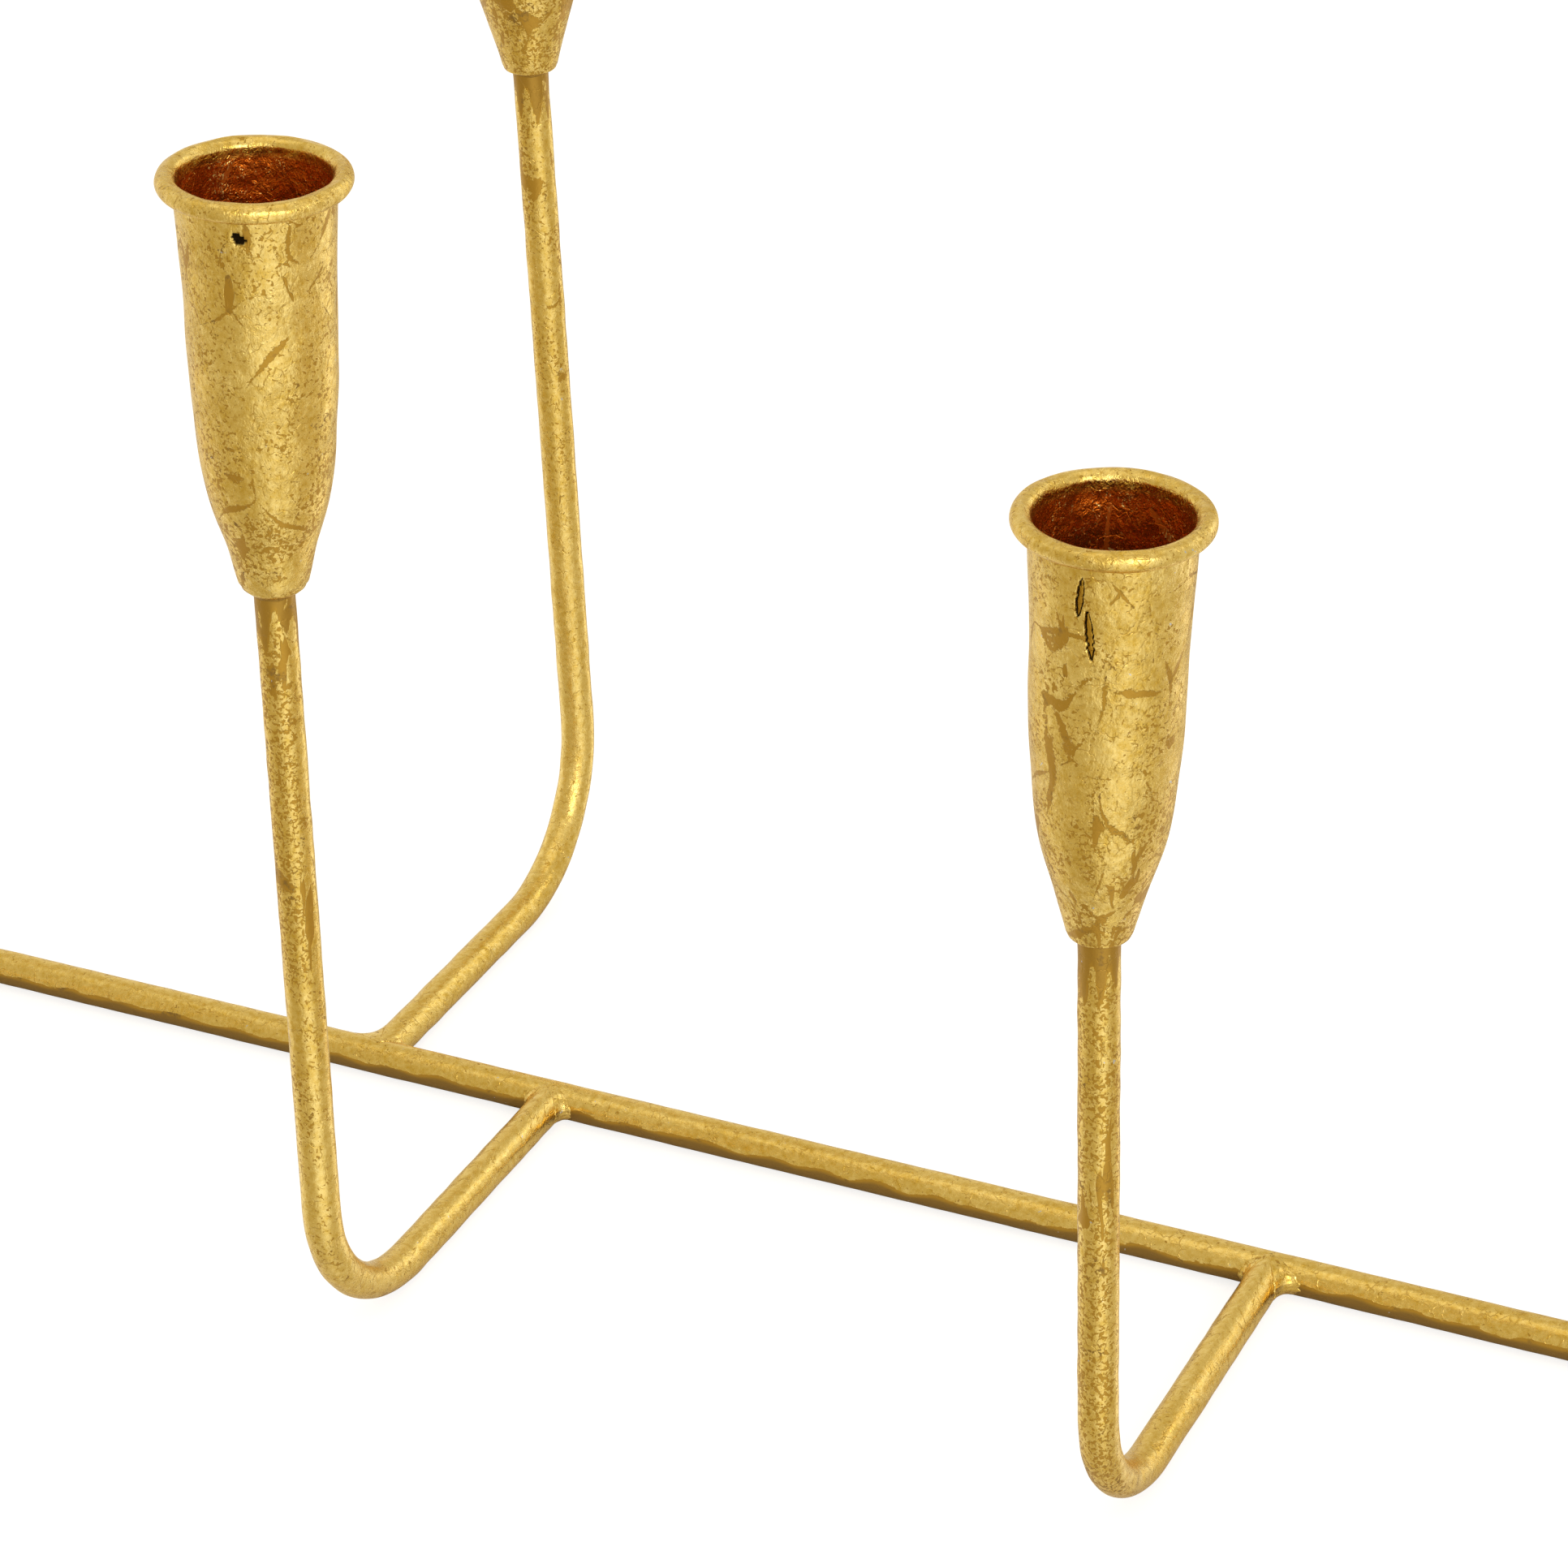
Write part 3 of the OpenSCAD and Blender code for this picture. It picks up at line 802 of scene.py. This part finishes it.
def gilt_material(name, finish, length, crinkled, inner=False):
    """Leaf over bole. The leaf is bright metal, the bole a satin ground, and grime dulls
    and darkens the bole, with painted shade on the undersides and brazed corners. The leaf's
    creases are darkened as painted shade. Length draws the leaf's pattern out along the piece
    and crinkled scales its wrinkles. With inner, the piece's inside goes over to painted
    shade: a band of deep gold under the lip as a painted reflection, then deep red for the
    light bounced and lost inside the cup, with strokes of leaf in it and a little less metal.
    Its tears are painted shade, dark, with flaps of bole."""
    material = bpy.data.materials.new(name)
    material.use_nodes = True
    tree = material.node_tree
    tree.nodes.clear()
    b = Bench(tree)
    place = b.node("ShaderNodeAttribute", out="Vector", attribute_name="place")
    wear = b.node("ShaderNodeAttribute", out="Fac", attribute_name="wear")
    bare = b.node("ShaderNodeAttribute", out="Fac", attribute_name="bare")
    sheets = tree.nodes.new("ShaderNodeGroup")
    sheets.node_tree = bpy.data.node_groups["Leaf sheets"]
    cracks = b.node("ShaderNodeAttribute", out="Fac", attribute_name="cracks")
    for socket, value in (("Place", place), ("Wear", wear), ("Bare", bare), ("Cracks", cracks)):
        tree.links.new(value, sheets.inputs[socket])
    sheets.inputs["Length"].default_value = length
    leaf, tint, grime_and_shade = sheets.outputs[:3]
    crinkle = tree.nodes.new("ShaderNodeGroup")
    crinkle.node_tree = bpy.data.node_groups["Leaf crinkle"]
    tree.links.new(place, crinkle.inputs["Place"])
    tree.links.new(leaf, crinkle.inputs["Leaf"])
    crinkle.inputs["Strength"].default_value = crinkled
    height, shaded_crease, glint = crinkle.outputs[:3]

    leaf_deep, leaf_light = colour(finish.leaf_deep), colour(finish.leaf_light)
    gold = b.blend(b.ramp(tint, 0.44, 0.92), leaf_deep, leaf_light)
    # Painted shade: the leaf's creases are darkened towards the bole's colour.
    gold = b.blend(b.math("MULTIPLY", shaded_crease, 0.6), gold, colour(finish.bole))
    # Grime darkens the bole, and painted shade darkens it on the undersides and brazed corners.
    ground = b.blend(b.math("MULTIPLY", grime_and_shade, 0.8), colour(finish.bole), colour(finish.bole_grime_and_shade))
    base = b.blend(leaf, ground, gold)
    fleck = b.step(b.noise(place, 1.1, 2.0, 0.5, 0.6), 0.765, 0.78)
    base = b.blend(fleck, base, colour(finish.silver))
    metal = b.ramp(leaf, 0.0, 1.0, 0.72, 1.0)
    dull = b.ramp(leaf, 0.0, 1.0, 0.40, 0.28)
    rough = b.math("MULTIPLY_ADD", glint, -0.10, dull)
    rough = b.math("MULTIPLY_ADD", grime_and_shade, 0.10, rough)
    if inner:
        inside = b.node("ShaderNodeAttribute", out="Fac", attribute_name="inside")
        stroke = b.noise(b.scaled(b.pushed(place, 4.0, 2.0), (1.0, 1.0, 0.3)), 0.26, 2.0, 0.6)
        zone = b.ramp(b.noise(place, 4.0, 2.0), 0.35, 0.65, 0.70, 0.57)
        strokes = b.step(b.math("SUBTRACT", stroke, zone), -0.01, 0.02)
        # Painted shade: deep red for the light lost inside the cup, with strokes of real leaf in
        # it.
        inner_shade = b.blend(strokes, colour(finish.inside), leaf_light)
        # Painted reflection: a band of deep gold just under the lip, where the gold reflects
        # itself.
        lip = b.blend(b.ramp(inside, 0.02, 0.10), base, leaf_deep)
        within = b.ramp(inside, 0.25, 0.75)
        base = b.blend(within, lip, inner_shade)
        # The painted shade inside is a little less metal, away from the strokes.
        shade_without_strokes = b.math("MULTIPLY", within, b.math("SUBTRACT", 1.0, strokes))
        metal = b.math("MULTIPLY_ADD", shade_without_strokes, -0.1, metal)
        hole = b.node("ShaderNodeAttribute", out="Fac", attribute_name="tear")
        # Painted shade: near black in an open tear's pit and in the gap round a flap; the flap
        # itself is bole.
        flap = b.blend(b.ramp(hole, 0.6, 0.9), PIT_SHADE, colour(finish.bole))
        torn_open = b.ramp(hole, 0.1, 0.4)
        base = b.blend(torn_open, base, flap)
        metal = b.math("MAXIMUM", metal, torn_open)
    bump = b.node("ShaderNodeBump", {"Height": height, "Distance": MM, "Strength": 1.0})
    shader = b.node("ShaderNodeBsdfPrincipled",
                    {"Base Color": base, "Metallic": metal, "Roughness": rough, "Normal": bump,
                     "Specular Tint": (1.0, 0.94, 0.86, 1.0)})
    output = tree.nodes.new("ShaderNodeOutputMaterial")
    tree.links.new(shader, output.inputs["Surface"])
    return material


# ---------------------------------------------------------------- stage


def floor_material():
    """A white floor that keeps the soft shadow of what stands on it. A reflection sees
    the floor only close by; from further off it sees the studio's dome through it."""
    material = bpy.data.materials.new("studio_floor")
    material.use_nodes = True
    tree = material.node_tree
    tree.nodes.clear()
    b = Bench(tree)
    matte = b.node("ShaderNodeBsdfDiffuse", {"Color": (0.80, 0.80, 0.80, 1.0)})
    glow = b.node("ShaderNodeEmission", {"Color": WHITE, "Strength": 0.78})
    seen = b.node("ShaderNodeLightPath", out="Is Camera Ray")
    glossy = b.node("ShaderNodeLightPath", out="Is Glossy Ray")
    length = b.node("ShaderNodeLightPath", out="Ray Length")
    faint = b.node("ShaderNodeBsdfDiffuse", {"Color": (0.42, 0.42, 0.42, 1.0)})
    lit = b.node("ShaderNodeAddShader", {0: faint, 1: glow})
    surface = b.node("ShaderNodeMixShader", {0: seen, 1: matte, 2: lit})
    far = b.math("MULTIPLY", glossy, b.ramp(length, 0.006, 0.05))
    clear = b.node("ShaderNodeBsdfTransparent")
    surface = b.node("ShaderNodeMixShader", {0: far, 1: surface, 2: clear})
    output = tree.nodes.new("ShaderNodeOutputMaterial")
    tree.links.new(surface, output.inputs["Surface"])
    return material


# Tall soft lamps painted on the studio's dome: azimuth from the front in degrees, the
# power that sets their width, and their strength.
DOME_LAMPS = [
    (30, 14, 0.38),
    (57, 14, 0.52),
    (126, 9, 0.12),
    (154, 70, 1.1),
    (-98, 8, 0.52),
    (-150, 14, 0.25),
]


def studio_dome(world):
    """White to the camera. As light it is a warm grey room with tall white lamps that are
    dimmer overhead: two at the front right, two behind on the right, and two on the left."""
    world.use_nodes = True
    tree = world.node_tree
    tree.nodes.clear()
    b = Bench(tree)
    direction = b.node("ShaderNodeTexCoord", out="Generated")
    upward = b.node("ShaderNodeSeparateXYZ", {0: direction}, out=2)
    flat = b.scaled(direction, (1.0, 1.0, 0.0))
    flat = b.node("ShaderNodeVectorMath", {0: flat}, operation="NORMALIZE")
    lamps = 0.0
    for azimuth, power, strength in DOME_LAMPS:
        a = math.radians(azimuth)
        facing = b.node("ShaderNodeVectorMath", {0: flat, 1: (math.sin(a), -math.cos(a), 0.0)},
                        out="Value", operation="DOT_PRODUCT")
        facing = b.math("POWER", b.math("MAXIMUM", facing, 0.0), float(power))
        lamps = b.math("MULTIPLY_ADD", facing, strength, lamps)
    lamps = b.math("MULTIPLY", lamps, b.ramp(upward, 0.2, 0.75, 1.0, 0.15))
    room = b.ramp(upward, -1.0, -0.6, 0.50, 0.62)
    room = b.math("ADD", room, b.ramp(upward, -0.1, 0.3, 0.0, 0.06))
    level = b.math("ADD", room, lamps)
    warm = b.blend(b.ramp(level, 0.6, 1.0), (1.0, 0.88, 0.58, 1.0), WHITE)
    studio = b.node("ShaderNodeBackground", {"Color": warm, "Strength": level})
    plain = b.node("ShaderNodeBackground", {"Color": WHITE, "Strength": 1.0})
    seen = b.node("ShaderNodeLightPath", out="Is Camera Ray")
    surface = b.node("ShaderNodeMixShader", {0: seen, 1: studio, 2: plain})
    output = tree.nodes.new("ShaderNodeOutputWorld")
    tree.links.new(surface, output.inputs["Surface"])


def soft_lamp(name, place, aim, size, power):
    """A rectangular lamp at place, turned towards aim."""
    data = bpy.data.lights.new(name, "AREA")
    data.shape = "RECTANGLE"
    data.size, data.size_y = size
    data.energy = power
    lamp = bpy.data.objects.new(name, data)
    bpy.context.scene.collection.objects.link(lamp)
    lamp.location = place
    lamp.rotation_euler = (Vector(aim) - Vector(place)).to_track_quat("-Z", "Y").to_euler()


class MENORAH_OT_stage(bpy.types.Operator):
    """Makes the floor, the studio's light and the camera"""
    bl_idname = "menorah.stage"
    bl_label = "Stage"

    def execute(self, context):
        scene, stage = context.scene, context.scene.menorah_stage
        scene.view_settings.view_transform = "Standard"
        half = stage.floor_size / 2
        corners = [(-half, -half, 0), (half, -half, 0), (half, half, 0), (-half, half, 0)]
        mesh = bpy.data.meshes.new("studio_floor")
        mesh.from_pydata(corners, [], [(0, 1, 2, 3)])
        mesh.materials.append(floor_material())
        floor = bpy.data.objects.new("studio_floor", mesh)
        scene.collection.objects.link(floor)
        scene.world = scene.world or bpy.data.worlds.new("studio")
        studio_dome(scene.world)
        soft_lamp("top_softbox", (0.1, -0.2, 1.6), (0, 0, 0.1), (1.6, 1.0), 2.2)
        soft_lamp("front_softbox", (1.3, -1.2, 0.8), (0.1, 0, 0.1), (0.7, 0.7), 6.0)
        soft_lamp("right_softbox", (1.2, 1.0, 1.1), (0.1, 0, 0.1), (0.45, 0.45), 1.1)
        data = bpy.data.cameras.new("camera")
        data.lens, data.sensor_width = stage.lens, 36.0
        camera = bpy.data.objects.new("camera", data)
        scene.collection.objects.link(camera)
        turn = Matrix.Rotation(stage.camera_turn, 4, "Z")
        dip = Matrix.Rotation(math.pi / 2 - stage.camera_dip, 4, "X")
        roll = Matrix.Rotation(stage.camera_roll, 4, "Z")
        camera.matrix_world = Matrix.Translation(stage.camera_place) @ turn @ dip @ roll
        scene.camera = camera
        return {"FINISHED"}


class MENORAH_OT_leaf(bpy.types.Operator):
    """Makes the gold leaf, its node groups and materials"""
    bl_idname = "menorah.leaf"
    bl_label = "Gold leaf"

    def execute(self, context):
        finish = context.scene.menorah_leaf
        leaf_sheets_group()
        leaf_crinkle_group()
        gilt_material("leafed_rod", finish, length=0.35, crinkled=0.35)
        gilt_material("leafed_cup", finish, length=0.75, crinkled=0.75, inner=True)
        gilt_material("leafed_weld", finish, length=1.0, crinkled=0.3)
        return {"FINISHED"}


class MENORAH_OT_bar(bpy.types.Operator):
    """Makes the bar"""
    bl_idname = "menorah.bar"
    bl_label = "Bar"

    def execute(self, context):
        points, fields, start, end = bar_surface(context.scene.menorah_rod)
        piece = grid_piece("leafed_bar", points, fields, start, end, ring=False)
        hand_over(piece, bpy.data.materials["leafed_rod"], "base_bar")
        return {"FINISHED"}


class MENORAH_OT_arms(bpy.types.Operator):
    """Makes the nine bent arms"""
    bl_idname = "menorah.arms"
    bl_label = "Arms"

    def execute(self, context):
        scene = context.scene
        for light in LIGHTS:
            points, fields, start, end = arm_surface(light, scene.menorah_rod, scene.menorah_cup)
            piece = grid_piece(light.name + "_leafed_arm", points, fields, start, end, ring=False)
            hand_over(piece, bpy.data.materials["leafed_rod"], light.name + "_arm")
        return {"FINISHED"}


class MENORAH_OT_cups(bpy.types.Operator):
    """Makes the nine candle cups"""
    bl_idname = "menorah.cups"
    bl_label = "Cups"

    def execute(self, context):
        for light in LIGHTS:
            points, fields = cup_surface(light, context.scene.menorah_cup)
            piece = grid_piece(light.name + "_leafed_cup", points, fields)
            hand_over(piece, bpy.data.materials["leafed_cup"], light.name + "_cup")
        return {"FINISHED"}


class MENORAH_OT_welds(bpy.types.Operator):
    """Makes the nine welds and the nine brazed rings"""
    bl_idname = "menorah.welds"
    bl_label = "Welds"

    def execute(self, context):
        for light in LIGHTS:
            points, fields = weld_surface(light)
            piece = grid_piece(light.name + "_leafed_weld", points, fields)
            hand_over(piece, bpy.data.materials["leafed_weld"], light.name + "_weld")
            points, fields = braze_surface(light, context.scene.menorah_cup)
            piece = grid_piece(light.name + "_leafed_braze", points, fields)
            hand_over(piece, bpy.data.materials["leafed_weld"], light.name + "_braze")
        return {"FINISHED"}


OPERATORS = (
    MENORAH_OT_stage,
    MENORAH_OT_leaf,
    MENORAH_OT_bar,
    MENORAH_OT_arms,
    MENORAH_OT_cups,
    MENORAH_OT_welds,
)


class MENORAH_PT_panel(bpy.types.Panel):
    """Lists the pieces and their sizes"""
    bl_idname = "MENORAH_PT_panel"
    bl_label = "Gilded menorah"
    bl_space_type = "VIEW_3D"
    bl_region_type = "UI"
    bl_category = "Menorah"

    def draw(self, context):
        for operator in OPERATORS:
            self.layout.operator(operator.bl_idname)
        for settings in ("menorah_rod", "menorah_cup", "menorah_leaf", "menorah_stage"):
            group = getattr(context.scene, settings)
            for key in group.__annotations__:
                self.layout.prop(group, key)


SETTINGS = {
    "menorah_rod": RodSizes,
    "menorah_cup": CupSizes,
    "menorah_leaf": LeafFinish,
    "menorah_stage": StageSettings,
}


def register():
    for made in (*SETTINGS.values(), *OPERATORS, MENORAH_PT_panel):
        bpy.utils.register_class(made)
    for key, group in SETTINGS.items():
        setattr(bpy.types.Scene, key, PointerProperty(type=group))


def unregister():
    for key in SETTINGS:
        delattr(bpy.types.Scene, key)
    for made in (MENORAH_PT_panel, *OPERATORS, *SETTINGS.values()):
        bpy.utils.unregister_class(made)


def main():
    register()
    bpy.ops.menorah.stage()
    bpy.ops.menorah.leaf()
    bpy.ops.menorah.bar()
    bpy.ops.menorah.arms()
    bpy.ops.menorah.cups()
    bpy.ops.menorah.welds()


if __name__ == "__main__":
    main()
